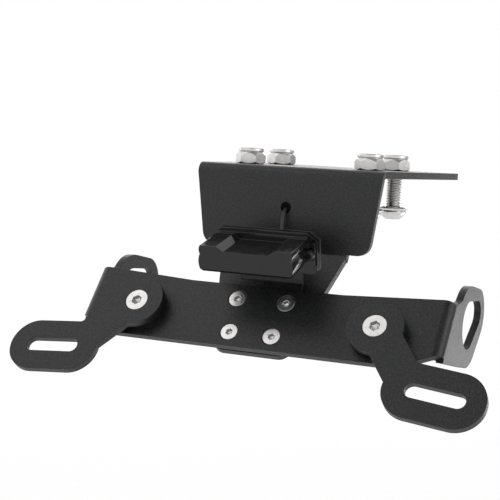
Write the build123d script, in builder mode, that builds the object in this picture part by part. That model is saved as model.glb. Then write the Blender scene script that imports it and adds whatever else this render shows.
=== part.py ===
"""Motorbike tail tidy: folded number-plate bracket with swivel plate arms, indicator tabs and plate lamp.

Millimetres. X runs across the bike to the right, Y runs forward under the tail and away from the
plate, Z is up.
The origin is on the underside of the top flange, in the middle of its four bolts.
"""

import os
from math import cos, pi, radians, sin, tan

from build123d import *

# Mount bracket, one folded sheet
sheet = 2.5
front_width = 71.8
side_taper = 0.138
flange_depth = 67.5
flange_corner = 2.0
face_height = 30.5
face_corner = 5.0
top_bend_outer = 3.5
neck_tilt = 38.2
neck_length = 43.1
neck_top_width = 48.6
neck_end_width = 27.4
neck_corner = 4.5
neck_bend_inner = 1.0
lead_hole = 4.0
lead_hole_drop = 14.8

# Tail bolts, washers and locking nuts
bolt_pitch_x = 48.0
bolt_pitch_y = 30.0
bolt_setback = 20.3
tail_bolt = 6.0
tail_bolt_length = 20.0
tail_hole = 6.6
tail_head = 10.5
tail_head_height = 3.3
tail_socket = 4.0
tail_socket_depth = 2.0
tail_panel_gap = 11.35
tail_washer = 12.0
tail_washer_sheet = 1.6
tail_nut_flats = 10.0
tail_nut_hex = 4.4
tail_nut_height = 6.0
tail_nut_collar = 9.4

# Plate crossbar with the two indicator tabs folded back at its ends
bar_sheet = 2.5
bar_height = 25.0
bar_overhang = 0.15
bar_half_length = 68.0
bar_bend_inner = 1.0
bar_flat_half = 28.8
bar_wing_rise = 2.1
bar_cut_start = 53.9
bar_cut_angle = 25.5
tab_hole_radius = 8.4
tab_hole_end_radius = 4.6
tab_hole_back = 21.9
tab_hole_rise = 6.15
tab_hole_length = 11.6
tab_hole_slope = 14.6
tab_border = 5.85
tab_border_back = 0.3
tab_border_drop = 0.45
tab_end_border = 4.7
tab_end_border_back = 0.4
tab_end_border_drop = 0.2
tab_low_step = 1.7
tab_top_step = 0.5
tab_web_slope = 7.2
tab_web_fillet = 2.5

# Crossbar screws
bar_screw = 4.0
bar_screw_length = 10.0
bar_screw_head = 6.5
bar_screw_socket = 2.5
bar_screw_socket_depth = 1.3
bar_hole = 4.4
bar_screw_inset = 5.7
bar_screw_top_half = 9.3
bar_screw_low_half = 8.0
bar_nut_flats = 7.0
bar_nut_height = 3.2

# Plate arms with their pivot screws, spacers and locking nuts
arm_sheet = 2.5
arm_pivot_half = 44.9
arm_pivot_rise = 11.5
right_arm_angle = 6.5
left_arm_angle = 5.3
arm_boss_radius = 10.0
arm_neck_width = 12.7
arm_neck_shift = 0.4
arm_neck_angle = 46.0
arm_neck_reach = 24.0
arm_pad_height = 19.9
arm_pad_length = 34.6
arm_pad_out = 27.6
arm_pad_drop = 19.8
arm_slot_length = 20.5
arm_slot_width = 5.3
arm_slot_out = 28.1
arm_slot_drop = 19.75
arm_fillet = 2.0
arm_screw = 5.0
arm_screw_length = 16.0
arm_screw_head = 8.6
arm_screw_socket = 3.5
arm_screw_socket_depth = 1.6
arm_spacer = 15.0
arm_spacer_sheet = 2.5
arm_hole = 5.4
arm_nut_flats = 8.0
arm_nut_hex = 3.6
arm_nut_height = 5.0
arm_nut_collar = 7.4

# Light bracket, a narrow folded strip clamped between neck and crossbar
light_sheet = 1.0
light_width = 24.4
light_fold_rise = 4.45
light_fold_tilt = 10.2
light_bend_inner = 1.5
light_end_inset = 2.0
light_leg_height = 19.0
light_corner = 2.0

# Plate lamp
lamp_rise = 12.8
lamp_spacer = 6.0
lamp_spacer_sheet = 2.9
lamp_width = 40.1
lamp_height = 14.4
lamp_base_chamfer_x = 3.7
lamp_base_chamfer_y = 2.5
lamp_base_corner = 2.0
lamp_gasket_sheet = 1.2
lamp_base_sheet = 2.2
lamp_hood_reach = 19.5
lamp_hood_half = 17.1
lamp_hood_front_half = 16.9
lamp_hood_wall = 1.7
lamp_hood_rear_top = 5.55
lamp_hood_front_top = 4.0
lamp_hood_rear_low = 1.8
lamp_hood_front_low = 4.3
lamp_ledge_depth = 2.0
lamp_ledge_rise = 0.7
lamp_ear_reach = 19.6
lamp_ear_height = 8.0
lamp_ear_sheet = 1.2
lamp_recess_floor_half = 8.2
lamp_recess_top_half = 10.8
lamp_recess_depth = 1.65
lamp_lens_sheet = 1.2
lamp_board_sheet = 0.8
lamp_board_half = 11.0
lamp_board_start = 7.0
lamp_board_depth = 7.0
lamp_led_size = 2.8
lamp_led_height = 0.7
lamp_led_pitch = 7.5
lamp_led_count = 3
lamp_ear_half = 17.9
lamp_ear_screw = 2.0
lamp_ear_head = 3.6
lamp_ear_head_height = 2.4
lamp_ear_length = 3.0
lamp_ear_socket = 1.5
lamp_ear_pocket = 4.0
lamp_screw = 3.0
lamp_screw_length = 6.9
lamp_screw_head = 5.6
lamp_screw_head_height = 1.8
lamp_screw_half = 7.5
lamp_screw_socket = 2.0

# Lead with its grommet, bush, coil, tie and connector
lead_diameter = 1.5
lead_stand = 2.5
lead_back = 8.8
lead_drop = 21.0
lead_tail = 12.0
grommet_body = 4.0
grommet_flange = 6.4
grommet_flange_sheet = 1.2
bush_lip = 6.0
bush_lip_sheet = 0.8
coil_radius = 9.0
coil_turns = 4
coil_pitch = 1.6
coil_slack = 0.15
tie_width = 3.0
tie_sheet = 0.8
tie_gap = 0.3
plug_width = 8.0
plug_depth = 5.0
plug_length = 14.0
plug_corner = 1.0

# Clearances
thread_clearance = 0.05
swivel_clearance = 0.05
swivel_play = 0.05
head_sink = 0.1
seat_clearance = 0.1
spare = 5.0

os.makedirs("parts", exist_ok=True)


def save(builder, name):
    """Label a finished piece and write it."""
    builder.part.label = name
    export_step(builder.part, f"parts/{name}.step")


# Places that several pieces share
face_y = -(bolt_pitch_y / 2 + bolt_setback)
back_y = face_y + flange_depth
fold_z = sheet - face_height
tilt = radians(neck_tilt)
neck_plane = Plane(origin=(0, face_y, fold_z), x_dir=(1, 0, 0), z_dir=(0, -cos(tilt), sin(tilt)))
bar_bottom = neck_length + bar_overhang
bar_top = bar_bottom - bar_height
bar_plane = neck_plane.offset(light_sheet + bar_sheet)
arm_plane = bar_plane.offset(arm_spacer_sheet + swivel_play + arm_sheet)
bolt_places = GridLocations(bolt_pitch_x, bolt_pitch_y, 2, 2).locations
bar_screw_places = [
    (side * half, -drop)
    for half, drop in (
        (bar_screw_top_half, bar_top + bar_screw_inset),
        (bar_screw_low_half, bar_bottom - bar_screw_inset),
    )
    for side in (-1, 1)
]
arm_pivots = [(side * arm_pivot_half, arm_pivot_rise - bar_bottom) for side in (-1, 1)]


def neck_point(drop, height):
    """Y and Z of a point on the neck's mid-plane: drop below the fold, height in front of the neck."""
    return (
        face_y - drop * sin(tilt) - height * cos(tilt),
        fold_z - drop * cos(tilt) + height * sin(tilt),
    )


# Mount bracket
flange_half = front_width / 2 + side_taper * flange_depth
bend_y = face_y + top_bend_outer
bend_z = sheet - top_bend_outer
face_low_z = fold_z + neck_bend_inner * tan(tilt / 2)
face_low_half = front_width / 2 - side_taper * (bend_z - face_low_z)
neck_start = (neck_bend_inner + sheet) * tan(tilt / 2)
neck_slope = (neck_top_width - neck_end_width) / 2 / neck_length
far = flange_half + spare

with BuildPart() as mount_bracket:
    with BuildSketch(Plane.YZ):
        with BuildLine():
            front = FilletPolyline(
                (back_y, sheet),
                (face_y, sheet),
                (face_y, fold_z),
                neck_point(neck_length, 0),
                radius=[top_bend_outer, neck_bend_inner],
            )
            offset(front, amount=sheet, side=Side.LEFT)
        make_face()
    extrude(amount=flange_half, both=True)
    # Flange sides flare towards the back; in front of the top bend the sheet is cut to the face's width
    with BuildSketch(Plane.XY):
        with BuildLine():
            Polyline(
                (front_width / 2, neck_point(neck_length, 0)[0] - spare),
                (front_width / 2, bend_y),
                (flange_half, back_y),
                (far, back_y),
                (far, neck_point(neck_length, 0)[0] - spare),
                close=True,
            )
        make_face()
        mirror(about=Plane.YZ)
    extrude(amount=neck_length + face_height, both=True, mode=Mode.SUBTRACT)
    # Face sides taper down to rounded lower corners, and only the neck goes on below
    with BuildSketch(Plane.XZ.offset(-face_y - sheet - spare)):
        with BuildLine():
            Polyline(
                (front_width / 2, bend_z),
                (face_low_half, face_low_z),
                (neck_top_width / 2, face_low_z),
                (neck_top_width / 2, fold_z - neck_length),
                (far, fold_z - neck_length),
                (far, bend_z),
                close=True,
            )
        outside = make_face()
        ledge = face_low_half - neck_top_width / 2
        fillet(outside.vertices().sort_by_distance((face_low_half, face_low_z))[0], min(face_corner, ledge))
        mirror(about=Plane.YZ)
    extrude(amount=neck_length + sheet + 2 * spare, mode=Mode.SUBTRACT)
    # Neck sides taper down to a rounded end
    with BuildSketch(neck_plane):
        with BuildLine():
            Polyline(
                (neck_top_width / 2 - neck_slope * neck_start, -neck_start),
                (neck_end_width / 2, -neck_length),
                (neck_end_width / 2, -neck_length - spare),
                (far, -neck_length - spare),
                (far, -neck_start),
                close=True,
            )
        make_face()
        mirror(about=Plane.YZ)
    extrude(amount=sheet + spare, both=True, mode=Mode.SUBTRACT)
    neck_ends = mount_bracket.edges().filter_by(lambda e: abs(e.length - sheet) < 1e-4)
    fillet(neck_ends.sort_by(Axis.Z)[:2], neck_corner)
    flange_ends = mount_bracket.edges().filter_by(Axis.Z).sort_by(Axis.Y)[-2:]
    fillet(flange_ends, flange_corner)
    with Locations(*bolt_places):
        Hole(tail_hole / 2)
    with BuildSketch(Plane.XZ.offset(-face_y - sheet - spare)):
        with Locations((0, sheet - lead_hole_drop)):
            Circle(lead_hole / 2)
    extrude(amount=sheet + 2 * spare, mode=Mode.SUBTRACT)
    with BuildSketch(neck_plane):
        with Locations(*bar_screw_places):
            Circle(bar_hole / 2)
    extrude(amount=sheet + spare, both=True, mode=Mode.SUBTRACT)
save(mount_bracket, "mount_bracket")


# Plate crossbar
bar_bend_outer = bar_bend_inner + bar_sheet
bar_tangent = bar_half_length - bar_bend_outer
bar_end_top = bar_top - bar_wing_rise
cut_slope = tan(radians(bar_cut_angle))
bend_low = bar_bottom - (bar_half_length - bar_cut_start) * cut_slope
tab_plane = Plane(
    origin=bar_plane.from_local_coords((bar_half_length, 0, 0)), x_dir=-bar_plane.z_dir, z_dir=(1, 0, 0)
)
bend_plane = Plane(
    origin=bar_plane.from_local_coords((bar_tangent, -bar_bottom, -bar_bend_outer)),
    x_dir=(1, 0, 0),
    z_dir=bar_plane.y_dir,
)
tab_outer = tab_hole_radius + tab_border
tab_centre = Vector(tab_hole_back, tab_hole_rise - bar_top)
tab_turn = neck_tilt + tab_hole_slope
tab_end = tab_centre + Vector(tab_hole_length, 0).rotate(Axis.Z, tab_turn)
tab_top = Vector(bar_bend_outer, tab_top_step - bar_end_top)
tab_low = Vector(bar_bend_outer, -bend_low - tab_low_step)
tab_round = tab_centre + Vector(tab_border_back, -tab_border_drop)
tab_end_round = tab_end + Vector(tab_end_border_back, -tab_end_border_drop)
tab_web = tab_top + Vector(tab_hole_radius, 0).rotate(Axis.Z, neck_tilt + tab_web_slope)

with BuildPart() as plate_crossbar:
    with BuildSketch(bar_plane):
        with BuildLine():
            Polyline(
                (0, -bar_top),
                (bar_flat_half, -bar_top),
                (bar_tangent, -bar_end_top),
                (bar_tangent, -bar_bottom),
                (0, -bar_bottom),
                close=True,
            )
        make_face()
    extrude(amount=-bar_sheet)
    # Bend at the end of the bar
    with BuildSketch(bend_plane):
        Circle(bar_bend_outer)
        Circle(bar_bend_inner, mode=Mode.SUBTRACT)
        Rectangle(bar_bend_outer, bar_bend_outer, align=(Align.MIN, Align.MAX), mode=Mode.INTERSECT)
    extrude(amount=bar_bottom - bar_end_top)
    # Slanted cut across the lower corner of bar and bend
    with BuildSketch(bar_plane):
        with BuildLine():
            Polyline(
                (bar_cut_start, -bar_bottom),
                (bar_half_length, -bend_low),
                (bar_half_length, -bar_bottom),
                close=True,
            )
        make_face()
    extrude(amount=-bar_bend_outer, mode=Mode.SUBTRACT)
    # Tab around its tear-shaped indicator hole, with a web to the bend; its border is wider below and behind
    with BuildSketch(tab_plane):
        with BuildLine():
            CenterArc(tab_round, tab_outer, 0, 360)
            CenterArc(tab_end_round, tab_hole_end_radius + tab_end_border, 0, 360)
        make_hull()
    extrude(amount=-bar_sheet)
    with BuildSketch(tab_plane):
        with BuildLine():
            CenterArc(tab_round, tab_outer, 0, 360)
            Line(tab_low, tab_low + Vector(0, tab_border))
        make_hull()
        with BuildLine():
            Polyline(tab_low, tab_top, tab_web, tab_centre, close=True)
        make_face()
    extrude(amount=-bar_sheet)
    web_point = tab_plane.from_local_coords((tab_top + tab_web) / 2)
    web_corner = plate_crossbar.edges().filter_by(Axis.X).sort_by_distance(web_point)
    fillet(web_corner[0], tab_web_fillet)
    with BuildSketch(tab_plane):
        with BuildLine():
            CenterArc(tab_centre, tab_hole_radius, 0, 360)
            CenterArc(tab_end, tab_hole_end_radius, 0, 360)
        make_hull()
    extrude(amount=-bar_sheet, mode=Mode.SUBTRACT)
    mirror(about=Plane.YZ)
    with Locations(bar_plane):
        with Locations(*bar_screw_places):
            CounterSinkHole(bar_hole / 2, bar_screw_head / 2 + head_sink + seat_clearance)
        with Locations(*arm_pivots):
            Hole(arm_hole / 2)
save(plate_crossbar, "plate_crossbar")


# Plate arms: one flat arm with its pivot at the origin, then a right and a mirrored left one in place
arm_bore = arm_screw / 2 + swivel_clearance
arm_sink = arm_screw_head / 2 + head_sink + swivel_clearance
neck_sides = [arm_neck_shift - arm_neck_width / 2, arm_neck_shift + arm_neck_width / 2]
pad_top = arm_pad_drop - arm_pad_height / 2
neck_turn = radians(arm_neck_angle)
boss_corners = [
    Vector((arm_boss_radius**2 - side**2) ** 0.5, side).rotate(Axis.Z, -arm_neck_angle) for side in neck_sides
]
pad_corner = Vector(pad_top / tan(neck_turn) + neck_sides[1] / sin(neck_turn), -pad_top)
neck_base = Vector(0, arm_neck_shift).rotate(Axis.Z, -arm_neck_angle)

with BuildPart() as flat_arm:
    with BuildSketch() as arm_shape:
        Circle(arm_boss_radius)
        with Locations(neck_base):
            Rectangle(
                arm_neck_reach, arm_neck_width, rotation=-arm_neck_angle, align=(Align.MIN, Align.CENTER)
            )
        with Locations((arm_pad_out, -arm_pad_drop)):
            SlotOverall(arm_pad_length, arm_pad_height)
        for corner in (*boss_corners, pad_corner):
            fillet(arm_shape.sketch_local.vertices().sort_by_distance(corner)[0], arm_fillet)
        with Locations((arm_slot_out, -arm_slot_drop)):
            SlotOverall(arm_slot_length, arm_slot_width, mode=Mode.SUBTRACT)
    extrude(amount=-arm_sheet)
    with Locations((0, 0, 0)):
        CounterSinkHole(arm_bore, arm_sink)
mirrored_arm = flat_arm.part.mirror(Plane.YZ)


def arm_place(pivot, angle):
    """Plane of an arm on its pivot, turned about the pivot screw."""
    across = arm_plane.x_dir.rotate(Axis((0, 0, 0), arm_plane.z_dir), angle)
    return Plane(origin=arm_plane.from_local_coords((*pivot, 0)), x_dir=across, z_dir=arm_plane.z_dir)


with BuildPart() as right_plate_arm:
    with Locations(arm_place(arm_pivots[1], -right_arm_angle)):
        add(flat_arm.part)
save(right_plate_arm, "right_plate_arm")

with BuildPart() as left_plate_arm:
    with Locations(arm_place(arm_pivots[0], left_arm_angle)):
        add(mirrored_arm)
save(left_plate_arm, "left_plate_arm")


# Countersunk screw standing on its head's top plane, pointing down
def countersunk(diameter, head, length, socket, socket_depth):
    """One countersunk socket screw; its head top is at Z = 0."""
    cone = (head - diameter) / 2
    with BuildPart() as screw:
        Cone(diameter / 2, head / 2, cone, align=(Align.CENTER, Align.CENTER, Align.MAX))
        with Locations((0, 0, -cone)):
            Cylinder(diameter / 2, length - cone, align=(Align.CENTER, Align.CENTER, Align.MAX))
        chamfer(screw.edges().sort_by(Axis.Z)[0], diameter / 10)
        with BuildSketch():
            RegularPolygon(socket / 2, 6, major_radius=False)
        extrude(amount=-socket_depth, mode=Mode.SUBTRACT)
    return screw.part


# Hexagon nut standing on its seat
def hex_nut(flats, hex_height, height, collar, bore):
    """One nut with chamfered corners; a collar above the hexagon holds the locking ring."""
    bevel = flats * 0.06
    corner = flats * 0.5774
    with BuildPart() as nut:
        with BuildSketch():
            RegularPolygon(flats / 2, 6, major_radius=False)
        extrude(amount=hex_height)
        with BuildSketch(Plane.XZ):
            with BuildLine():
                Polyline(
                    (0, 0),
                    (corner - bevel * 1.7, 0),
                    (corner, bevel),
                    (corner, hex_height - bevel),
                    (corner - bevel * 1.7, hex_height),
                    (0, hex_height),
                    close=True,
                )
            make_face()
        revolve(axis=Axis.Z, mode=Mode.INTERSECT)
        if height > hex_height:
            Cylinder(collar / 2, height, align=(Align.CENTER, Align.CENTER, Align.MIN))
            chamfer(nut.edges().filter_by(GeomType.CIRCLE).sort_by(Axis.Z)[-1], (height - hex_height) / 3)
        Hole(bore / 2 + thread_clearance)
    return nut.part


# Crossbar screws and nuts
bar_screw_one = countersunk(
    bar_screw, bar_screw_head, bar_screw_length, bar_screw_socket, bar_screw_socket_depth
)
with BuildPart() as crossbar_screws:
    with Locations(bar_plane.offset(-head_sink)):
        with Locations(*bar_screw_places):
            add(bar_screw_one)
save(crossbar_screws, "crossbar_screws")

bar_nut_one = hex_nut(bar_nut_flats, bar_nut_height, bar_nut_height, bar_nut_flats, bar_screw)
with BuildPart() as crossbar_nuts:
    with Locations(neck_plane.offset(-sheet)):
        with Locations(*[Location((x, y, 0), (180, 0, 0)) for x, y in bar_screw_places]):
            add(bar_nut_one)
save(crossbar_nuts, "crossbar_nuts")


# Arm spacers, screws and nuts
with BuildPart() as arm_spacers:
    with BuildSketch(bar_plane):
        with Locations(*arm_pivots):
            Circle(arm_spacer / 2)
            Circle(arm_screw / 2 + seat_clearance, mode=Mode.SUBTRACT)
    extrude(amount=arm_spacer_sheet)
save(arm_spacers, "arm_spacers")

arm_screw_one = countersunk(
    arm_screw, arm_screw_head, arm_screw_length, arm_screw_socket, arm_screw_socket_depth
)
with BuildPart() as arm_screws:
    with Locations(arm_plane.offset(-head_sink)):
        with Locations(*arm_pivots):
            add(arm_screw_one)
save(arm_screws, "arm_screws")

arm_nut_one = hex_nut(arm_nut_flats, arm_nut_hex, arm_nut_height, arm_nut_collar, arm_screw)
with BuildPart() as arm_nuts:
    with Locations(bar_plane.offset(-bar_sheet)):
        with Locations(*[Location((x, y, 0), (180, 0, 0)) for x, y in arm_pivots]):
            add(arm_nut_one)
save(arm_nuts, "arm_nuts")


# Tail bolts, washers and nuts
head_seat = -tail_panel_gap - tail_washer_sheet
with BuildPart() as tail_bolt_one:
    with BuildSketch(Plane.XZ):
        with BuildLine():
            crown = ThreePointArc(
                (tail_head / 2, -0.25 * tail_head_height),
                (tail_head * 0.42, -0.74 * tail_head_height),
                (tail_socket * 0.72, -tail_head_height),
            )
            Polyline(
                crown @ 1,
                (0, -tail_head_height),
                (0, tail_bolt_length),
                (tail_bolt / 2 - 0.5, tail_bolt_length),
                (tail_bolt / 2, tail_bolt_length - 0.5),
                (tail_bolt / 2, 0),
                (tail_head / 2, 0),
                crown @ 0,
            )
        make_face()
    revolve(axis=Axis.Z)
    with BuildSketch(Plane.XY.offset(-tail_head_height)):
        RegularPolygon(tail_socket / 2, 6, major_radius=False)
    extrude(amount=tail_socket_depth, mode=Mode.SUBTRACT)

with BuildPart() as tail_bolts:
    with Locations(Plane.XY.offset(head_seat)):
        with Locations(*bolt_places):
            add(tail_bolt_one.part)
save(tail_bolts, "tail_bolts")

with BuildPart() as tail_washers:
    with BuildSketch(Plane.XY.offset(head_seat)):
        with Locations(*bolt_places):
            Circle(tail_washer / 2)
            Circle(tail_bolt / 2 + seat_clearance, mode=Mode.SUBTRACT)
    extrude(amount=tail_washer_sheet)
save(tail_washers, "tail_washers")

tail_nut_one = hex_nut(tail_nut_flats, tail_nut_hex, tail_nut_height, tail_nut_collar, tail_bolt)
with BuildPart() as tail_nuts:
    with Locations(Plane.XY.offset(sheet)):
        with Locations(*bolt_places):
            add(tail_nut_one)
save(tail_nuts, "tail_nuts")


# Light bracket
lean = radians(light_fold_tilt)
leg_up = Vector(0, -sin(lean), cos(lean))
leg_front = Vector(0, -cos(lean), -sin(lean))
light_fold = Vector(0, *neck_point(bar_top - light_fold_rise, light_sheet))
light_top = light_fold + leg_up * light_leg_height
leg_plane = Plane(origin=light_fold + leg_up * lamp_rise, x_dir=(1, 0, 0), z_dir=leg_front)
leg_back_plane = leg_plane.offset(-light_sheet)
lamp_plane = leg_plane.offset(lamp_spacer_sheet)
lamp_origin = lamp_plane.origin
lamp_screw_places = [(-lamp_screw_half, 0), (lamp_screw_half, 0)]
lamp_ear_places = [(-lamp_ear_half, 0), (lamp_ear_half, 0)]

with BuildPart() as light_bracket:
    with BuildSketch(Plane.YZ):
        with BuildLine():
            strip = FilletPolyline(
                neck_point(neck_length - light_end_inset, light_sheet),
                (light_fold.Y, light_fold.Z),
                (light_top.Y, light_top.Z),
                radius=light_bend_inner,
            )
            offset(strip, amount=light_sheet, side=Side.RIGHT)
        make_face()
    extrude(amount=light_width / 2, both=True)
    strip_ends = light_bracket.edges().filter_by(lambda e: abs(e.length - light_sheet) < 1e-4)
    strip_ends = strip_ends.sort_by(Axis.Z)
    fillet([*strip_ends[:2], *strip_ends[-2:]], light_corner)
    with BuildSketch(neck_plane):
        with Locations(*bar_screw_places):
            Circle(bar_hole / 2)
    extrude(amount=light_sheet, mode=Mode.SUBTRACT)
    with BuildSketch(leg_plane):
        Circle(grommet_body / 2 + thread_clearance)
        with Locations(*lamp_screw_places):
            Circle(lamp_screw / 2 + seat_clearance)
    extrude(amount=-light_sheet, mode=Mode.SUBTRACT)
save(light_bracket, "light_bracket")


# Plate lamp: spacers, gasket, base, hood, lens, board, light-emitting diodes and screws
with BuildPart() as lamp_spacers:
    with BuildSketch(leg_plane):
        with Locations(*lamp_screw_places):
            Circle(lamp_spacer / 2)
            Circle(lamp_screw / 2 + seat_clearance, mode=Mode.SUBTRACT)
    extrude(amount=lamp_spacer_sheet)
save(lamp_spacers, "lamp_spacers")

base_top = lamp_height / 2
base_side = lamp_width / 2
with BuildSketch() as lamp_outline:
    with BuildLine():
        Polyline(
            (-base_side + lamp_base_chamfer_x, base_top),
            (base_side - lamp_base_chamfer_x, base_top),
            (base_side, base_top - lamp_base_chamfer_y),
            (base_side, -base_top),
            (-base_side, -base_top),
            (-base_side, base_top - lamp_base_chamfer_y),
            close=True,
        )
    make_face()
    fillet(lamp_outline.vertices().group_by(Axis.Y)[0], lamp_base_corner)

with BuildPart() as lamp_gasket:
    with BuildSketch(lamp_plane):
        add(lamp_outline.sketch)
        Circle(grommet_body / 2, mode=Mode.SUBTRACT)
        with Locations(*lamp_screw_places, *lamp_ear_places):
            Circle(lamp_screw / 2 + seat_clearance, mode=Mode.SUBTRACT)
    extrude(amount=lamp_gasket_sheet)
save(lamp_gasket, "lamp_gasket")

base_plane = lamp_plane.offset(lamp_gasket_sheet)
with BuildPart() as lamp_base:
    with BuildSketch(base_plane):
        add(lamp_outline.sketch)
        Circle(lead_diameter / 2 + seat_clearance, mode=Mode.SUBTRACT)
        with Locations(*lamp_screw_places):
            Circle(lamp_screw / 2 + thread_clearance, mode=Mode.SUBTRACT)
        with Locations(*lamp_ear_places):
            Circle(lamp_ear_screw / 2 + thread_clearance, mode=Mode.SUBTRACT)
    extrude(amount=lamp_base_sheet)
save(lamp_base, "lamp_base")

hood_start = lamp_gasket_sheet + lamp_base_sheet
hood_length = lamp_hood_reach - hood_start
top_slope = (lamp_hood_rear_top - lamp_hood_front_top) / hood_length
low_slope = (lamp_hood_front_low - lamp_hood_rear_low) / hood_length
roof_depth = lamp_recess_depth + lamp_hood_wall
cavity_half = lamp_hood_half - lamp_hood_wall
cavity_front = lamp_hood_reach - lamp_hood_wall
lamp_side = Plane(origin=lamp_origin, x_dir=lamp_plane.z_dir, z_dir=(-1, 0, 0))
lamp_plan = Plane(origin=lamp_origin, x_dir=(1, 0, 0), z_dir=lamp_plane.y_dir)
hood_plane = lamp_plane.offset(hood_start)


def hood_top(forward):
    """Height of the hood's sloping top at a distance in front of the bracket."""
    return lamp_hood_rear_top - top_slope * (forward - hood_start)


def hood_low(forward):
    """Height of the hood's sloping lower rim at a distance in front of the bracket."""
    return -lamp_hood_rear_low - low_slope * (forward - hood_start)


with BuildPart() as lamp_hood:
    with BuildSketch(lamp_side):
        with BuildLine():
            Polyline(
                (hood_start, hood_low(hood_start)),
                (hood_start, lamp_hood_rear_top + lamp_ledge_rise),
                (hood_start + lamp_ledge_depth, lamp_hood_rear_top + lamp_ledge_rise),
                (hood_start + lamp_ledge_depth, hood_top(hood_start + lamp_ledge_depth)),
                (lamp_hood_reach, lamp_hood_front_top),
                (lamp_hood_reach, hood_low(lamp_hood_reach)),
                close=True,
            )
        make_face()
    extrude(amount=lamp_hood_half, both=True)
    # Ends draw in a little towards the front
    with BuildSketch(lamp_plan):
        with BuildLine():
            Polyline(
                (lamp_hood_half, -lamp_hood_reach),
                (lamp_hood_front_half, -lamp_hood_reach),
                (lamp_hood_half, -hood_start),
                close=True,
            )
        make_face()
        mirror(about=Plane.YZ)
    extrude(amount=lamp_height, both=True, mode=Mode.SUBTRACT)
    # Ears for the two hood screws, and the pockets that clear their heads
    with BuildSketch(hood_plane):
        Rectangle(2 * lamp_ear_reach, lamp_ear_height)
    extrude(amount=lamp_ear_sheet)
    with BuildSketch(hood_plane.offset(lamp_ear_sheet)):
        with Locations(*lamp_ear_places):
            Circle(lamp_ear_pocket / 2)
    extrude(amount=lamp_ear_head_height + seat_clearance, mode=Mode.SUBTRACT)
    with BuildSketch(hood_plane):
        with Locations(*lamp_ear_places):
            Circle(lamp_ear_screw / 2 + seat_clearance)
    extrude(amount=lamp_ear_sheet, mode=Mode.SUBTRACT)
    # Shallow tray along the top, open to the front between two rails
    tray_start = hood_start + lamp_ledge_depth
    tray_point = lamp_side.from_local_coords((tray_start, hood_top(tray_start)))
    tray_run = lamp_side.from_local_coords((lamp_hood_reach, hood_top(lamp_hood_reach))) - tray_point
    with BuildSketch(Plane(origin=tray_point, x_dir=(1, 0, 0), z_dir=tray_run)):
        with BuildLine():
            Polyline(
                (-lamp_recess_top_half, 0),
                (-lamp_recess_floor_half, -lamp_recess_depth),
                (lamp_recess_floor_half, -lamp_recess_depth),
                (lamp_recess_top_half, 0),
                (lamp_recess_top_half, lamp_recess_depth),
                (-lamp_recess_top_half, lamp_recess_depth),
                close=True,
            )
        make_face()
    extrude(amount=lamp_hood_reach, mode=Mode.SUBTRACT)
    # Hollow inside, open below for the lens and behind for the base
    with BuildSketch(lamp_side):
        with BuildLine():
            Polyline(
                (hood_start, hood_top(hood_start) - roof_depth),
                (cavity_front, hood_top(cavity_front) - roof_depth),
                (cavity_front, -lamp_height),
                (hood_start, -lamp_height),
                close=True,
            )
        make_face()
    extrude(amount=cavity_half, both=True, mode=Mode.SUBTRACT)
save(lamp_hood, "lamp_hood")

with BuildPart() as lamp_lens:
    with BuildSketch(lamp_side):
        with BuildLine():
            Polyline(
                (hood_start, hood_low(hood_start)),
                (cavity_front - thread_clearance, hood_low(cavity_front)),
                (cavity_front - thread_clearance, hood_low(cavity_front) + lamp_lens_sheet),
                (hood_start, hood_low(hood_start) + lamp_lens_sheet),
                close=True,
            )
        make_face()
    extrude(amount=cavity_half - thread_clearance, both=True)
save(lamp_lens, "lamp_lens")

board_end = lamp_board_start + lamp_board_depth
with BuildPart() as lamp_board:
    with BuildSketch(lamp_side):
        with BuildLine():
            Polyline(
                (lamp_board_start, hood_top(lamp_board_start) - roof_depth),
                (board_end, hood_top(board_end) - roof_depth),
                (board_end, hood_top(board_end) - roof_depth - lamp_board_sheet),
                (lamp_board_start, hood_top(lamp_board_start) - roof_depth - lamp_board_sheet),
                close=True,
            )
        make_face()
    extrude(amount=lamp_board_half, both=True)
save(lamp_board, "lamp_board")

led_middle = lamp_board_start + lamp_board_depth / 2
led_point = lamp_side.from_local_coords((led_middle, hood_top(led_middle) - roof_depth - lamp_board_sheet))
led_down = Vector(0, 0, 0) - Plane(origin=tray_point, x_dir=(1, 0, 0), z_dir=tray_run).y_dir
with BuildPart() as lamp_leds:
    with BuildSketch(Plane(origin=led_point, x_dir=(1, 0, 0), z_dir=led_down)):
        with GridLocations(lamp_led_pitch, 0, lamp_led_count, 1):
            Rectangle(lamp_led_size, lamp_led_size)
    extrude(amount=lamp_led_height)
save(lamp_leds, "lamp_leds")


# Cap-head screws of the lamp
def cap_screw(diameter, length, head, head_height, socket):
    """One cap screw: seat of the head at Z = 0, shank below."""
    with BuildPart() as screw:
        Cylinder(head / 2, head_height, align=(Align.CENTER, Align.CENTER, Align.MIN))
        chamfer(screw.edges().sort_by(Axis.Z)[-1], head_height / 10)
        Cylinder(diameter / 2, length, align=(Align.CENTER, Align.CENTER, Align.MAX))
        with BuildSketch(Plane.XY.offset(head_height)):
            RegularPolygon(socket / 2, 6, major_radius=False)
        extrude(amount=-head_height / 2, mode=Mode.SUBTRACT)
    return screw.part


ear_screw_one = cap_screw(
    lamp_ear_screw, lamp_ear_length, lamp_ear_head, lamp_ear_head_height, lamp_ear_socket
)
with BuildPart() as lamp_hood_screws:
    with Locations(hood_plane.offset(lamp_ear_sheet)):
        with Locations(*lamp_ear_places):
            add(ear_screw_one)
save(lamp_hood_screws, "lamp_hood_screws")

lamp_screw_one = cap_screw(
    lamp_screw, lamp_screw_length, lamp_screw_head, lamp_screw_head_height, lamp_screw_socket
)
with BuildPart() as lamp_base_screws:
    with Locations(leg_back_plane):
        with Locations(*[Location((x, y, 0), (180, 0, 0)) for x, y in lamp_screw_places]):
            add(lamp_screw_one)
save(lamp_base_screws, "lamp_base_screws")


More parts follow.
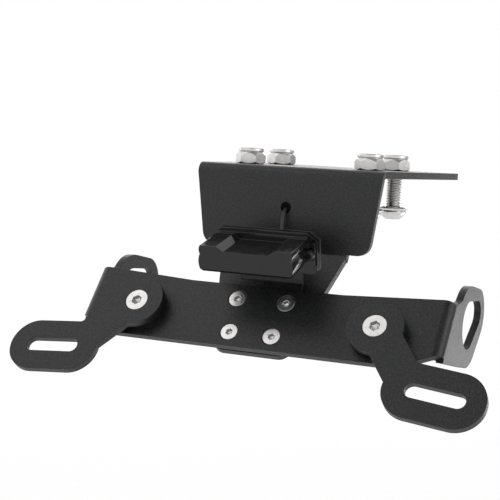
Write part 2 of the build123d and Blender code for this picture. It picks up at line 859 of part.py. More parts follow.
# Lead: out of the grommet behind the lamp, up the front of the face and back through its bushed hole
with BuildPart() as lead_grommet:
    with BuildSketch(leg_back_plane):
        Circle(grommet_flange / 2)
    extrude(amount=-grommet_flange_sheet)
    with BuildSketch(leg_back_plane):
        Circle(grommet_body / 2)
    extrude(amount=light_sheet + lamp_spacer_sheet)
    with BuildSketch(leg_back_plane):
        Circle(lead_diameter / 2 + thread_clearance)
    extrude(amount=light_sheet + lamp_spacer_sheet + grommet_flange_sheet, both=True, mode=Mode.SUBTRACT)
save(lead_grommet, "lead_grommet")

lead_y = face_y - lead_stand
lead_far_y = face_y + lead_back
hole_z = sheet - lead_hole_drop
lead_points = [
    lamp_origin,
    Vector(0, lead_y, lamp_origin.Z + (lead_y - lamp_origin.Y) * tan(lean)),
    Vector(0, lead_y, hole_z),
    Vector(0, lead_far_y, hole_z),
    Vector(0, lead_far_y, hole_z - lead_drop),
]


def bend_radii(points):
    """Radius of each bend: 0.45 of the shorter run over the tangent of half the turn."""
    radii = []
    for before, here, after in zip(points, points[1:], points[2:]):
        first = here - before
        second = after - here
        turn = radians(first.get_angle(second))
        radii.append(0.45 * min(first.length, second.length) / tan(turn / 2))
    return radii


lead_radii = bend_radii(lead_points)
coil_centre = lead_points[-1] - Vector(coil_radius, lead_diameter / 2, 0)
coil_half = lead_diameter / 2 + coil_slack
coil_length = coil_turns * coil_pitch + lead_diameter
tail_start = lead_points[-1] + Vector(0, coil_turns * coil_pitch, 0)
plug_start = tail_start - Vector(0, 0, lead_tail)

with BuildPart() as light_lead:
    with BuildLine() as lead_path:
        FilletPolyline(*lead_points, radius=lead_radii)
    with BuildSketch(Plane(origin=lead_path.line @ 0, z_dir=lead_path.line % 0)):
        Circle(lead_diameter / 2)
    sweep()
    # Tail from the last turn of the coil down to the plug
    with Locations(tail_start):
        Cylinder(lead_diameter / 2, lead_tail, align=(Align.CENTER, Align.CENTER, Align.MAX))
save(light_lead, "light_lead")
lead_run = sum(edge.length for edge in lead_path.edges())
lead_coiled = coil_turns * ((2 * pi * coil_radius) ** 2 + coil_pitch**2) ** 0.5
print("lead points", [tuple(round(v, 3) for v in p) for p in lead_points])
print("lead radii", [round(r, 2) for r in lead_radii])
print("lead run", round(lead_run, 1), "whole lead", round(lead_run + lead_coiled + lead_tail, 1))
print("lead volume", round(light_lead.part.volume, 1))
print("section times length", round(pi / 4 * lead_diameter**2 * (lead_run + lead_tail), 1))

# Rubber bush in the face's hole, bored along the lead's bend
with BuildPart() as lead_bush:
    with BuildSketch(Plane.XZ.offset(-face_y - sheet)):
        with Locations((0, hole_z)):
            Circle(lead_hole / 2 - thread_clearance)
    extrude(amount=sheet)
    with BuildSketch(Plane.XZ.offset(-face_y - sheet)):
        with Locations((0, hole_z)):
            Circle(bush_lip / 2)
    extrude(amount=-bush_lip_sheet)
    with BuildLine() as bush_path:
        FilletPolyline(*lead_points, radius=lead_radii)
    with BuildSketch(Plane(origin=bush_path.line @ 0, z_dir=bush_path.line % 0)):
        Circle(lead_diameter / 2 + thread_clearance)
    sweep(mode=Mode.SUBTRACT)
save(lead_bush, "lead_bush")

# Stowed turns of the lead, one closed ring of the coil's outer shape
with BuildPart() as lead_coil:
    with BuildSketch(Plane(origin=coil_centre, x_dir=(1, 0, 0), z_dir=(0, 1, 0))):
        Circle(coil_radius + coil_half)
        Circle(coil_radius - coil_half, mode=Mode.SUBTRACT)
    extrude(amount=coil_length)
save(lead_coil, "lead_coil")

tie_middle = coil_centre + Vector(0, coil_length / 2, -coil_radius)
tie_bore_length = coil_length + 2 * tie_gap
tie_bore_height = 2 * coil_half + 2 * tie_gap
tie_round = tie_gap + tie_sheet
with BuildPart() as coil_tie:
    with BuildSketch(Plane(origin=tie_middle, x_dir=(0, 1, 0), z_dir=(1, 0, 0))):
        RectangleRounded(tie_bore_length + 2 * tie_sheet, tie_bore_height + 2 * tie_sheet, tie_round)
        RectangleRounded(tie_bore_length, tie_bore_height, tie_gap, mode=Mode.SUBTRACT)
    extrude(amount=tie_width / 2, both=True)
save(coil_tie, "coil_tie")

with BuildPart() as lead_plug:
    with Locations(plug_start):
        Box(plug_width, plug_depth, plug_length, align=(Align.CENTER, Align.CENTER, Align.MAX))
    fillet(lead_plug.edges().filter_by(Axis.Z), plug_corner)
save(lead_plug, "lead_plug")
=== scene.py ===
import math

import bmesh
import bpy
from mathutils import Matrix, Vector


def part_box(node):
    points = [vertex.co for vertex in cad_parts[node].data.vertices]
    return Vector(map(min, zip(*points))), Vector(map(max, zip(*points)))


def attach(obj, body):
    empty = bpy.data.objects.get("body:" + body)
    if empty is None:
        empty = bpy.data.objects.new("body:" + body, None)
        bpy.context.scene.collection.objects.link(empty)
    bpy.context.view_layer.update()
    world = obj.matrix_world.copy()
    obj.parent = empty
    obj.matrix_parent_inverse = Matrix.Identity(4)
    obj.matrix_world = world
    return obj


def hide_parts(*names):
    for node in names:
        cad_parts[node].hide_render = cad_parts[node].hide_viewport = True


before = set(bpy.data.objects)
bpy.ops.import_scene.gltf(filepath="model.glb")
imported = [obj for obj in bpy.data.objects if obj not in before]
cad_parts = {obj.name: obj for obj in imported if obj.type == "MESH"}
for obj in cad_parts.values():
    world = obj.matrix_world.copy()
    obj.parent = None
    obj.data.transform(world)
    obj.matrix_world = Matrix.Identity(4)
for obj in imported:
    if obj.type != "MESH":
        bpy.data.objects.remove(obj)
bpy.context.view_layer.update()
scene = bpy.context.scene
scene.view_settings.view_transform = "Standard"


# Node helpers for the procedural materials
class Nodes:
    """A material's node tree with short calls to add and link nodes."""

    bevel_samples = 6

    def __init__(self, name):
        self.material = bpy.data.materials.new(name)
        self.material.use_nodes = True
        self.tree = self.material.node_tree
        self.shader = self.tree.nodes["Principled BSDF"]
        self.coords = self.tree.nodes.new("ShaderNodeTexCoord").outputs["Object"]

    def set(self, **values):
        """Sets constants on the shader's own sockets, with _ for the spaces in their names."""
        for key, value in values.items():
            self.shader.inputs[key.replace("_", " ")].default_value = value

    def link(self, source, target):
        self.tree.links.new(source, target)

    def texture(self, kind, **values):
        """A texture node on the object's coordinates."""
        node = self.tree.nodes.new("ShaderNodeTex" + kind)
        for key, value in values.items():
            node.inputs[key].default_value = value
        self.link(self.coords, node.inputs["Vector"])
        return node

    def noise(self, scale, detail):
        return self.texture("Noise", Scale=scale, Detail=detail).outputs["Fac"]

    def cells(self, scale):
        return self.texture("Voronoi", Scale=scale).outputs["Distance"]

    def bands(self, scale, axis):
        node = self.texture("Wave", Scale=scale)
        node.bands_direction = axis
        return node.outputs["Fac"]

    def ramp(self, source, low, high, start=0.0, end=1.0):
        """Colour that goes from low to high while the source goes from start to end."""
        node = self.tree.nodes.new("ShaderNodeValToRGB")
        first, last = node.color_ramp.elements
        first.position, last.position = start, end
        first.color, last.color = (*low, 1), (*high, 1)
        self.link(source, node.inputs["Fac"])
        return node.outputs["Color"]

    def span(self, source, low, high):
        """Number that goes from low to high while the source goes from 0 to 1."""
        node = self.tree.nodes.new("ShaderNodeMapRange")
        node.inputs["To Min"].default_value = low
        node.inputs["To Max"].default_value = high
        self.link(source, node.inputs["Value"])
        return node.outputs["Result"]

    def bump(self, source, distance, strength, before=None):
        """Normal that the source raises, on top of the normal before it."""
        node = self.tree.nodes.new("ShaderNodeBump")
        node.inputs["Distance"].default_value = distance
        node.inputs["Strength"].default_value = strength
        self.link(source, node.inputs["Height"])
        if before:
            self.link(before, node.inputs["Normal"])
        return node.outputs["Normal"]

    def bevel(self, radius):
        node = self.tree.nodes.new("ShaderNodeBevel")
        node.samples = self.bevel_samples
        node.inputs["Radius"].default_value = radius
        return node.outputs["Normal"]

    def colour(self, source):
        self.link(source, self.shader.inputs["Base Color"])

    def roughness(self, source):
        self.link(source, self.shader.inputs["Roughness"])

    def normal(self, source):
        self.link(source, self.shader.inputs["Normal"])


# Materials
def grey(value, warm=0.0):
    """Linear grey, a little warmer or cooler."""
    return (value * (1 + warm), value, value * (1 - warm))


def powder_coat():
    m = Nodes("powder_coat")
    m.set(Metallic=0.0, IOR=1.5)
    cool = -0.06
    speckle = m.noise(scale=1500, detail=3)
    m.colour(m.ramp(speckle, grey(0.002, cool), grey(0.016, cool), start=0.4, end=0.64))
    m.roughness(m.span(m.noise(scale=900, detail=2), low=0.36, high=0.48))
    grain = m.noise(scale=1700, detail=3)
    m.normal(m.bump(grain, distance=0.00014, strength=0.7, before=m.bevel(radius=0.00035)))
    return m.material


def stainless(name, low, high, rough):
    m = Nodes(name)
    m.set(Metallic=1.0)
    warm, spread = 0.015, 0.04
    cloud = m.noise(scale=500, detail=3)
    m.colour(m.ramp(cloud, grey(low, warm), grey(high, warm), start=0.3, end=0.75))
    m.roughness(m.span(m.noise(scale=900, detail=2), low=rough - spread, high=rough + spread))
    grain = m.noise(scale=1800, detail=2)
    m.normal(m.bump(grain, distance=0.00001, strength=0.2, before=m.bevel(radius=0.00025)))
    return m.material


def moulded(name, low, high, rough, grain=0.35, gloss=0.5):
    m = Nodes(name)
    m.set(Metallic=0.0, IOR=1.5, Specular_IOR_Level=gloss)
    smoother, rougher = 0.05, 0.08
    m.colour(m.ramp(m.noise(scale=700, detail=3), grey(low), grey(high), start=0.35, end=0.7))
    m.roughness(m.span(m.noise(scale=300, detail=3), low=rough - smoother, high=rough + rougher))
    texture = m.noise(scale=1600, detail=2)
    m.normal(m.bump(texture, distance=0.00003, strength=grain, before=m.bevel(radius=0.0003)))
    return m.material


def clear_lens():
    m = Nodes("lens_clear")
    m.set(Transmission_Weight=0.9, IOR=1.49)
    m.colour(m.ramp(m.noise(scale=400, detail=2), low=(0.82, 0.85, 0.88), high=(0.92, 0.94, 0.96)))
    m.roughness(m.span(m.noise(scale=600, detail=2), low=0.05, high=0.18))
    m.normal(m.bump(m.bands(scale=250.0, axis="X"), distance=0.0002, strength=0.4))
    return m.material


def circuit():
    m = Nodes("circuit_board")
    m.colour(m.ramp(m.noise(scale=900, detail=2), low=(0.62, 0.64, 0.60), high=(0.78, 0.79, 0.76)))
    m.roughness(m.span(m.noise(scale=500, detail=2), low=0.35, high=0.5))
    return m.material


def phosphor():
    m = Nodes("led_phosphor")
    m.colour(m.ramp(m.cells(scale=800), low=(0.85, 0.72, 0.25), high=(0.95, 0.9, 0.7), end=0.6))
    m.roughness(m.span(m.noise(scale=700, detail=2), low=0.2, high=0.35))
    return m.material


coat = powder_coat()
steel = stainless("stainless_steel", low=0.57, high=0.7, rough=0.3)
bright_steel = stainless("bright_stainless", low=0.62, high=0.74, rough=0.36)
lamp_plastic = moulded("lamp_plastic", low=0.003, high=0.007, rough=0.1, grain=0.06, gloss=0.46)
rubber = moulded("soft_rubber", low=0.006, high=0.015, rough=0.55)
bush_rubber = moulded("bush_rubber", low=0.002, high=0.004, rough=0.8, gloss=0.1)
sheath = moulded("lead_sheath", low=0.014, high=0.024, rough=0.34)
plug_plastic = moulded("plug_plastic", low=0.015, high=0.03, rough=0.4)
blackened = moulded("blackened_steel", low=0.01, high=0.03, rough=0.3)
nylon = moulded("nylon", low=0.55, high=0.68, rough=0.4, grain=0.15)

# Finish of each CAD node that stays in view
finishes = {
    "mount_bracket": coat,
    "plate_crossbar": coat,
    "left_plate_arm": coat,
    "right_plate_arm": coat,
    "light_bracket": coat,
    "crossbar_nuts": steel,
    "arm_spacers": steel,
    "arm_nuts": steel,
    "lamp_spacers": rubber,
    "lamp_gasket": rubber,
    "lamp_base": lamp_plastic,
    "lamp_hood": lamp_plastic,
    "lamp_lens": clear_lens(),
    "lamp_board": circuit(),
    "lamp_leds": phosphor(),
    "lamp_hood_screws": blackened,
    "lamp_base_screws": blackened,
    "lead_grommet": rubber,
    "lead_bush": bush_rubber,
    "coil_tie": plug_plastic,
    "lead_plug": plug_plastic,
}
for node, material in finishes.items():
    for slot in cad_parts[node].material_slots:
        slot.material = material

# Meshes made of loops of points
smooth_angle = math.radians(24)


def skin(mesh, loops, hollow=False):
    """Adds one closed solid to the mesh; a hollow one joins its last loop to its first."""
    rows = [[mesh.verts.new(spot) for spot in loop] for loop in loops]
    if hollow:
        rows.append(rows[0])
    else:
        mesh.faces.new(reversed(rows[0]))
        mesh.faces.new(rows[-1])
    for low, high in zip(rows, rows[1:]):
        for column in range(len(low)):
            beside = (column + 1) % len(low)
            mesh.faces.new((low[column], low[beside], high[beside], high[column]))


def turned(mesh, place, rings, columns, hollow=False):
    """Adds a skin of rings, each giving radius and height by angle, in the frame of a place."""
    loops = []
    for ring in rings:
        loop = []
        for column in range(columns):
            angle = 2 * math.pi * column / columns
            radius, height = ring(angle)
            loop.append(place @ Vector((radius * math.cos(angle), radius * math.sin(angle), height)))
        loops.append(loop)
    skin(mesh, loops, hollow)


def add_piece(name, mesh, material, slot, *nodes):
    """Makes the mesh a piece on the bracket that stands for the named nodes."""
    bmesh.ops.recalc_face_normals(mesh, faces=mesh.faces)
    data = bpy.data.meshes.new(name)
    mesh.to_mesh(data)
    mesh.free()
    data.shade_smooth()
    data.set_sharp_from_angle(angle=smooth_angle)
    data.materials.append(material)
    piece = bpy.data.objects.new(name, data)
    scene.collection.objects.link(piece)
    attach(piece, "bracket")
    if nodes:
        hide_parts(*nodes)


# Rings of the fasteners, in metres
bolt_radius, bore = 0.003, 0.0031
thread_flat, rings_per_pitch = 0.1, 6


def fixed(radius, height):
    """A round ring."""
    return lambda angle: (radius, height)


def outline(*spots):
    """Round rings from the radius and height of each."""
    return [fixed(*spot) for spot in spots]


def hexagon_radius(flats, angle):
    """Distance from the middle of a hexagon to its side, with a corner at angle 0."""
    return flats / 2 / math.cos(angle % (math.pi / 3) - math.pi / 6)


def hexagon(flats, height):
    """A six-sided ring."""
    return lambda angle: (hexagon_radius(flats, angle), height)


def thread(crest, root, pitch, height):
    """One ring of a screw thread, flat for a little at its crest and root."""

    def ring(angle):
        wave = abs(2 * ((height / pitch - angle / (2 * math.pi)) % 1) - 1)
        rise = (wave - thread_flat) / (1 - 2 * thread_flat)
        return root + (crest - root) * min(max(rise, 0.0), 1.0), height

    return ring


def nut_rings():
    """A chamfered hexagon, with a collar above it that has a recess for the plastic ring."""
    flats, seat, hex_height, height = 0.01, 0.00475, 0.0044, 0.006
    low_slope, high_slope = 0.65, 1.4
    neck, collar, lip, recess, recess_floor, bore_mouth = 0.0046, 0.0049, 0.004, 0.00385, 0.005, 0.0034

    def low_chamfer(angle):
        radius = hexagon_radius(flats, angle)
        return radius, (radius - seat) * low_slope

    def high_chamfer(angle):
        radius = hexagon_radius(flats, angle)
        return radius, hex_height - (radius - seat) * high_slope

    body = [fixed(seat, 0.0), low_chamfer, high_chamfer, fixed(seat, hex_height)]
    groove = outline((neck, 0.00442), (neck, 0.00462))
    outside = outline((collar, 0.00478), (collar, 0.0055), (0.00482, 0.0058), (0.00455, height))
    inside = outline((lip, height), (recess, 0.0058), (recess, recess_floor), (bore, recess_floor))
    return body + groove + outside + inside + outline((bore, 0.0004), (bore_mouth, 0.0))


def bolt_rings():
    """A button head below height 0 with its socket opening down, and above it a thread and a plain end."""
    socket, socket_depth, head, head_height, head_edge = 0.004, 0.002, 0.0105, 0.0033, 0.0002
    crown_radius, crown_flat, crown_steps = 0.00563, 0.0027, 8
    root, pitch, thread_end, length, chamfer = 0.0024, 0.001, 0.0156, 0.02, 0.0005
    crest = bolt_radius
    rings = [hexagon(socket, socket_depth - head_height), hexagon(socket, -head_height)]
    crown_middle = math.sqrt(crown_radius**2 - crown_flat**2) - head_height
    for step in range(crown_steps + 1):
        radius = crown_flat + (head / 2 - crown_flat) * step / crown_steps
        rings.append(fixed(radius, crown_middle - math.sqrt(crown_radius**2 - radius**2)))
    rings += outline((head / 2 - head_edge, 0.0), (crest, 0.0))
    for step in range(1, round(thread_end / pitch * rings_per_pitch)):
        rings.append(thread(crest, root, pitch, step * pitch / rings_per_pitch))
    return rings + outline((crest, thread_end), (crest, length - chamfer), (crest - chamfer, length))


def screw_rings(head, crest, length, socket, socket_depth, pitch, thread_length):
    """A countersunk screw with its head's top at height 0 and a drilled point in its socket."""
    edge, mouth = 0.0001, 0.0001
    point_share, depth_share, tip_share = 0.32, 0.55, 0.2
    point, root, chamfer = point_share * socket, crest - depth_share * pitch, tip_share * crest
    rings = [fixed(edge, -socket_depth - point), hexagon(socket, -socket_depth), hexagon(socket, -mouth)]
    rings.append(hexagon(socket + 2 * mouth, 0.0))
    rings += outline((head - 2 * edge, 0.0), (head - edge, -edge), (crest, crest - head))
    for step in range(round((thread_length - chamfer) / pitch * rings_per_pitch)):
        rings.append(thread(crest, root, pitch, thread_length - length - step * pitch / rings_per_pitch))
    return rings + outline((crest, chamfer - length), (crest - chamfer, -length))


def washer_rings():
    """A washer that thins out to a rounded rim."""
    flat, rim, middle, sheet = 0.005, 0.006, 0.00095, 0.0016
    under = outline((bore, 0.0), (flat, 0.0), (0.0059, 0.0008), (rim, middle))
    return under + outline((0.0059, 0.0011), (0.0049, sheet), (bore, sheet))


def insert_rings():
    """The plastic ring in a nut's recess."""
    return outline((0.00384, 0.00505), (0.00384, 0.0056), (0.00305, 0.00555), (0.00295, 0.00505))


# Locking nuts, bolts and washers on the flange, with the nuts turned as in the photograph
bolt_half_x, bolt_half_y = 0.024, 0.015
bolt_places = [(x, y) for x in (-bolt_half_x, bolt_half_x) for y in (-bolt_half_y, bolt_half_y)]
nut_turns = [13, 29, 11, 1]
nut_columns, insert_columns, bolt_columns, washer_columns, screw_columns = 72, 36, 36, 48, 60
flange_top, head_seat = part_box("tail_nuts")[0][2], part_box("tail_washers")[0][2]
nuts, inserts, bolts, washers = bmesh.new(), bmesh.new(), bmesh.new(), bmesh.new()
for spot, turn in zip(bolt_places, nut_turns):
    above = Matrix.Translation((*spot, flange_top)) @ Matrix.Rotation(math.radians(turn), 4, "Z")
    below = Matrix.Translation((*spot, head_seat))
    turned(nuts, above, nut_rings(), nut_columns, hollow=True)
    turned(inserts, above, insert_rings(), insert_columns, hollow=True)
    turned(bolts, below, bolt_rings(), bolt_columns)
    turned(washers, below, washer_rings(), washer_columns, hollow=True)
add_piece("locking_nuts", nuts, bright_steel, "stainless", "tail_nuts")
add_piece("nut_inserts", inserts, nylon, "board")
add_piece("threaded_bolts", bolts, steel, "stainless", "tail_bolts")
add_piece("thin_washers", washers, steel, "stainless", "tail_washers")

# Countersunk screws, square on the slanted crossbar, their sockets with a corner up
face_y, fold_z, neck_tilt, socket_turn = -0.0353, -0.028, math.radians(38.2), math.radians(30)
bar_head_stand, arm_head_stand = 0.0034, 0.00845
bar_heads = [(0.0093, 0.02395), (0.008, 0.03755)]
arm_heads = [(0.0449, 0.03175)]
bar_screw = screw_rings(
    head=0.00325,
    crest=0.002,
    length=0.01,
    socket=0.0022,
    socket_depth=0.0015,
    pitch=0.0007,
    thread_length=0.004,
)
arm_screw = screw_rings(
    head=0.0043,
    crest=0.0025,
    length=0.016,
    socket=0.0033,
    socket_depth=0.0017,
    pitch=0.0008,
    thread_length=0.008,
)


def on_neck(across, drop, stand):
    """Place on the slanted neck: drop below the fold along it, stand in front of it."""
    y = face_y - drop * math.sin(neck_tilt) - stand * math.cos(neck_tilt)
    z = fold_z - drop * math.cos(neck_tilt) + stand * math.sin(neck_tilt)
    square = Matrix.Rotation(math.pi / 2 - neck_tilt, 4, "X") @ Matrix.Rotation(socket_turn, 4, "Z")
    return Matrix.Translation((across, y, z)) @ square


def screws(rings, heads, stand):
    """A mesh with a screw on both sides of the middle for each head."""
    mesh = bmesh.new()
    for across, drop in heads:
        for side in (-1, 1):
            turned(mesh, on_neck(side * across, drop, stand), rings, screw_columns)
    return mesh


bar_screws = screws(bar_screw, bar_heads, bar_head_stand)
arm_screws = screws(arm_screw, arm_heads, arm_head_stand)
add_piece("socket_screws", bar_screws, steel, "stainless", "crossbar_screws")
add_piece("pivot_screws", arm_screws, steel, "stainless", "arm_screws")

# Lamp's frame, from its middle on the light bracket; each size of the hood is given at its start and reach
lamp_exit, lamp_lean = (0.0, -0.049741, -0.026142), math.radians(10.2)
lamp_at, lamp_side = Vector(lamp_exit), Vector((1.0, 0.0, 0.0))
lamp_front = Vector((0.0, -math.cos(lamp_lean), -math.sin(lamp_lean)))
lamp_up = Vector((0.0, -math.sin(lamp_lean), math.cos(lamp_lean)))
hood_start, hood_reach = 0.0034, 0.0195
hood_top, hood_low, hood_half = (0.00555, 0.004), (-0.0018, -0.0043), (0.0171, 0.0169)


def lamp_spot(across, forward, height):
    return lamp_at + across * lamp_side + forward * lamp_front + height * lamp_up


def hood_size(size, forward):
    """A size of the hood at a distance in front of the lamp's middle."""
    at_start, at_reach = size
    return at_start + (at_reach - at_start) * (forward - hood_start) / (hood_reach - hood_start)


# Painted shade: a thin near-black matte frame round the lens, under the hood's sloping lower rim, that
# gives the shaded line along the hood's lower edges
shade_rim_front = lamp_spot(0.0, hood_reach, hood_size(hood_low, hood_reach))
shade_rim_back = (lamp_spot(0.0, hood_start, hood_size(hood_low, hood_start)) - shade_rim_front).normalized()
shade_rim_down = shade_rim_back.cross(lamp_side)
shade_rim_half, shade_rim_run, shade_rim_corner, corner_steps, corner_loss = 0.0169, 0.0123, 0.0012, 5, 0.6
shade_rim_width, shade_rim_sheet, shade_rim_gap, outer_edge, inner_edge = 0.0015, 0.0006, 0.00001, 0.00015, 0.0002
shade_rim_shoulder = shade_rim_sheet - outer_edge
shade_rim_sides = [
    (0.0, shade_rim_gap),
    (0.0, shade_rim_shoulder),
    (outer_edge, shade_rim_sheet),
    (shade_rim_width - inner_edge, shade_rim_sheet),
    (shade_rim_width, shade_rim_shoulder),
    (shade_rim_width, shade_rim_gap),
]


def shade_rim_loop(inset, depth):
    """A rounded rectangle, inset from the hood's outline and depth below its rim."""
    radius = shade_rim_corner - corner_loss * inset
    loop = []
    for across, along, start in ((1, 1, 0), (-1, 1, 1), (-1, -1, 2), (1, -1, 3)):
        for step in range(corner_steps + 1):
            angle = math.pi / 2 * (start + step / corner_steps)
            side = across * (shade_rim_half - inset - radius) + radius * math.cos(angle)
            back = shade_rim_run / 2 + along * (shade_rim_run / 2 - inset - radius) + radius * math.sin(angle)
            loop.append(shade_rim_front + side * lamp_side + back * shade_rim_back + depth * shade_rim_down)
    return loop


shade_rim = bmesh.new()
skin(shade_rim, [shade_rim_loop(*side) for side in shade_rim_sides], hollow=True)
# The frame's near-black matte rubber paints the shaded line under the hood's front edge
add_piece("painted_shade_rim", shade_rim, bush_rubber, "rubber")

# Cheeks on the hood's ends, each of two round ribs with a groove between them
groove, low_bulge, high_bulge, rib_round, rib_steps, cheek_root = 0.64, 0.00075, 0.0005, 0.7, 12, 0.0003
# Stations from back to front: the distance in front of the lamp's middle and the share of the bulge there
cheek_back = [(0.0072, 0.0), (0.0076, 0.9), (0.0078, 1.0)]
cheek_front = [(0.0191, 1.0), (0.0194, 0.85), (hood_reach, 0.6)]


def cheek_loop(end, forward, share):
    """Outline of the cheek on one end of the hood, across the lamp."""
    low, high = hood_size(hood_low, forward), hood_size(hood_top, forward)
    half = hood_size(hood_half, forward)
    loop = []
    for start, stop, bulge in ((0.0, groove, low_bulge), (groove, 1.0, high_bulge)):
        for step in range(rib_steps + 1):
            height = low + (high - low) * (start + (stop - start) * step / rib_steps)
            out = share * bulge * math.sin(math.pi * step / rib_steps) ** rib_round
            loop.append(lamp_spot(end * (half + out), forward, height))
    for height in (high, low):
        loop.append(lamp_spot(end * (half - cheek_root), forward, height))
    return loop


cheeks = bmesh.new()
for end in (-1, 1):
    skin(cheeks, [cheek_loop(end, *station) for station in cheek_back + cheek_front])
add_piece("hood_cheeks", cheeks, lamp_plastic, "lamp_black")

# Lamp lead: from the lamp over the face and through its hole, then four stowed turns and the plug
lead_diameter, lead_length, lead_facets, lead_steps = 0.0015, 0.287, 4, 6
coil_x, coil_y, coil_z = -0.009, -0.0265, -0.0333
turns, per_turn, wind_radius, wind_pitch = 4, 16, 0.00915, 0.0016
route = [
    lamp_exit,
    (0.0, -0.0378, -0.023994),
    (0.0, -0.0378, -0.0123),
    (0.0, coil_y, -0.0123),
]
for step in range(turns * per_turn + 1):
    angle = 2 * math.pi * step / per_turn
    x = coil_x + wind_radius * math.cos(angle)
    y = coil_y + wind_pitch * step / per_turn
    z = coil_z - wind_radius * math.sin(angle)
    route.append((x, y, z))
route.append((0.0, -0.0201, -0.0453))
lead_curve = bpy.data.curves.new("lamp_lead", "CURVE")
lead_curve.dimensions = "3D"
lead_curve.bevel_depth = lead_diameter / 2
lead_curve.bevel_resolution = lead_facets
lead_curve.resolution_u = lead_steps
lead_curve.use_fill_caps = True
line = lead_curve.splines.new("NURBS")
line.points.add(len(route) - 1)
for point, place in zip(line.points, route):
    point.co = (*place, 1.0)
line.order_u = 3
line.use_endpoint_u = True
lead_curve.materials.append(sheath)
lead = bpy.data.objects.new("lamp_lead", lead_curve)
scene.collection.objects.link(lead)
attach(lead, "bracket")
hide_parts("light_lead", "lead_coil")

# Camera, fitted to the photograph's corners, bolts and screws
azimuth, elevation, roll = math.radians(24.1705), math.radians(4.6303), math.radians(2.961)
target, distance = Vector((-0.0132494, -0.0353, -0.0287625)), 0.4647222
focal_pixels, picture_pixels, sensor = 1270.328, 500, 36.0
level_part = math.cos(elevation)
back = Vector((math.sin(azimuth) * level_part, -math.cos(azimuth) * level_part, math.sin(elevation)))
right = (-back).cross(Vector((0, 0, 1))).normalized()
up = right.cross(-back)
axis_x = math.cos(roll) * right + math.sin(roll) * up
axis_y = -math.sin(roll) * right + math.cos(roll) * up
camera = bpy.data.objects.new("camera", bpy.data.cameras.new("camera"))
camera.data.sensor_width = sensor
camera.data.lens = focal_pixels / picture_pixels * sensor
camera.data.clip_start, camera.data.clip_end = 0.01, 20.0
facing = Matrix((axis_x, axis_y, back)).transposed().to_4x4()
camera.matrix_world = Matrix.Translation(target + back * distance) @ facing
scene.collection.objects.link(camera)
scene.camera = camera


# Lights
def panel(name, place, aim, size, power):
    """A soft white panel, with its size in metres and its power in watts."""
    light = bpy.data.lights.new(name, "AREA")
    light.shape = "RECTANGLE"
    light.size, light.size_y = size
    light.energy = power
    lamp = bpy.data.objects.new(name, light)
    lamp.location = place
    lamp.rotation_euler = (Vector(aim) - Vector(place)).to_track_quat("-Z", "Y").to_euler()
    lamp.visible_camera = False
    scene.collection.objects.link(lamp)


panel("key", place=(-0.42, -0.42, 0.95), aim=(0, -0.05, -0.03), size=(0.5, 0.5), power=0.9)
panel("back", place=(-0.45, 1.0, 0.28), aim=(0, 0, 0), size=(0.9, 0.4), power=2.3)
panel("right", place=(0.6, -0.08, 0.24), aim=(0.06, -0.03, -0.04), size=(0.3, 0.3), power=0.7)
panel("left", place=(-0.7, 0.1, 0.15), aim=(-0.06, -0.03, -0.04), size=(0.3, 0.4), power=0.25)
panel("strip", place=(0.155, 0.165, -0.1), aim=(0.068, -0.02, -0.05), size=(0.05, 0.11), power=0.065)
panel("strip_high", place=(0.125, 0.165, -0.01), aim=(0.035, 0.01, 0.0), size=(0.05, 0.06), power=0.014)


# White room and floor
def maths(tree, operation, first, second):
    """A math node of two values, each a number or another node's output."""
    node = tree.nodes.new("ShaderNodeMath")
    node.operation = operation
    for value, socket in zip((first, second), node.inputs):
        if isinstance(value, float):
            socket.default_value = value
        else:
            tree.links.new(value, socket)
    return node.outputs[0]


def white_to_view(tree, share):
    """Factor that is the given share for rays from the camera, mirrors and glass, else 0."""
    path = tree.nodes.new("ShaderNodeLightPath").outputs
    mirrors = maths(tree, "MAXIMUM", path["Is Glossy Ray"], path["Is Transmission Ray"])
    return maths(tree, "MULTIPLY", maths(tree, "MAXIMUM", path["Is Camera Ray"], mirrors), share)


def dimmer(tree, towards, start, end, left):
    """Falls from 1 to what is left, between two cosines of a ray's angle to a direction."""
    along = tree.nodes.new("ShaderNodeVectorMath")
    along.operation = "DOT_PRODUCT"
    along.inputs[1].default_value = towards
    tree.links.new(tree.nodes.new("ShaderNodeTexCoord").outputs["Generated"], along.inputs[0])
    fall = tree.nodes.new("ShaderNodeMapRange")
    for key, value in (("From Min", start), ("From Max", end), ("To Min", 1.0), ("To Max", left)):
        fall.inputs[key].default_value = value
    tree.links.new(along.outputs["Value"], fall.inputs["Value"])
    return fall.outputs["Result"]


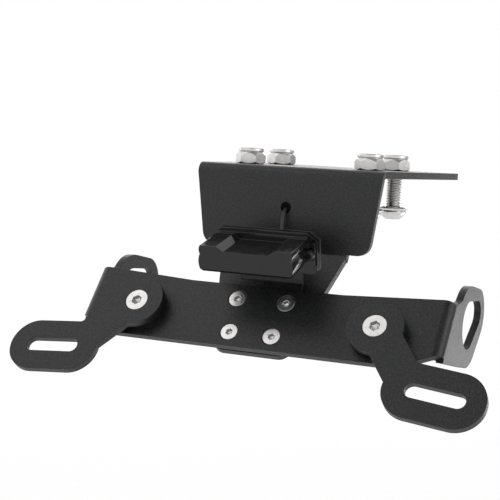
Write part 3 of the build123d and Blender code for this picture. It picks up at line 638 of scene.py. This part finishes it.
def mixed(tree, factor, first, second, output):
    """Links a mix of two shaders to an output node."""
    mix = tree.nodes.new("ShaderNodeMixShader")
    tree.links.new(factor, mix.inputs["Fac"])
    tree.links.new(first, mix.inputs[1])
    tree.links.new(second, mix.inputs[2])
    tree.links.new(mix.outputs["Shader"], output.inputs["Surface"])


white, room_strength = (1, 1, 1, 1), 0.6
world = bpy.data.worlds.new("studio")
scene.world = world
world.use_nodes = True
tree = world.node_tree
tree.nodes.clear()
room = tree.nodes.new("ShaderNodeBackground")
room.inputs["Color"].default_value = white
room.inputs["Strength"].default_value = room_strength
seen = tree.nodes.new("ShaderNodeBackground")
seen.inputs["Color"].default_value = white
# White where the camera looks; mirrors see the room dimmer to the right behind the part and overhead
behind = dimmer(tree, (0.6, 0.8, 0.0), start=0.86, end=0.98, left=0.15)
overhead = dimmer(tree, (0.2, -0.2, 0.96), start=0.65, end=0.88, left=0.25)
looked_at = tree.nodes.new("ShaderNodeLightPath").outputs["Is Camera Ray"]
level = maths(tree, "MAXIMUM", looked_at, maths(tree, "MULTIPLY", behind, overhead))
tree.links.new(level, seen.inputs["Strength"])
world_output = tree.nodes.new("ShaderNodeOutputWorld")
mixed(tree, white_to_view(tree, 1.0), room.outputs[0], seen.outputs[0], world_output)

floor_half, floor_z, floor_glow, floor_share = 0.7, -0.2, 1.21, 0.6
floor_corners = [(x * floor_half, y * floor_half, floor_z) for x, y in ((-1, -1), (1, -1), (1, 1), (-1, 1))]
floor_mesh = bpy.data.meshes.new("floor")
floor_mesh.from_pydata(floor_corners, [], [(0, 1, 2, 3)])
floor = bpy.data.objects.new("floor", floor_mesh)
scene.collection.objects.link(floor)
paper = Nodes("pale_floor")
paper.colour(paper.ramp(paper.noise(scale=3, detail=2), grey(0.78), grey(0.82)))
paper.set(Roughness=0.9)
glow = paper.tree.nodes.new("ShaderNodeEmission")
glow.inputs["Color"].default_value = white
glow.inputs["Strength"].default_value = floor_glow
paper_output = paper.tree.nodes["Material Output"]
paper_share = white_to_view(paper.tree, floor_share)
mixed(paper.tree, paper_share, paper.shader.outputs[0], glow.outputs[0], paper_output)
floor_mesh.materials.append(paper.material)
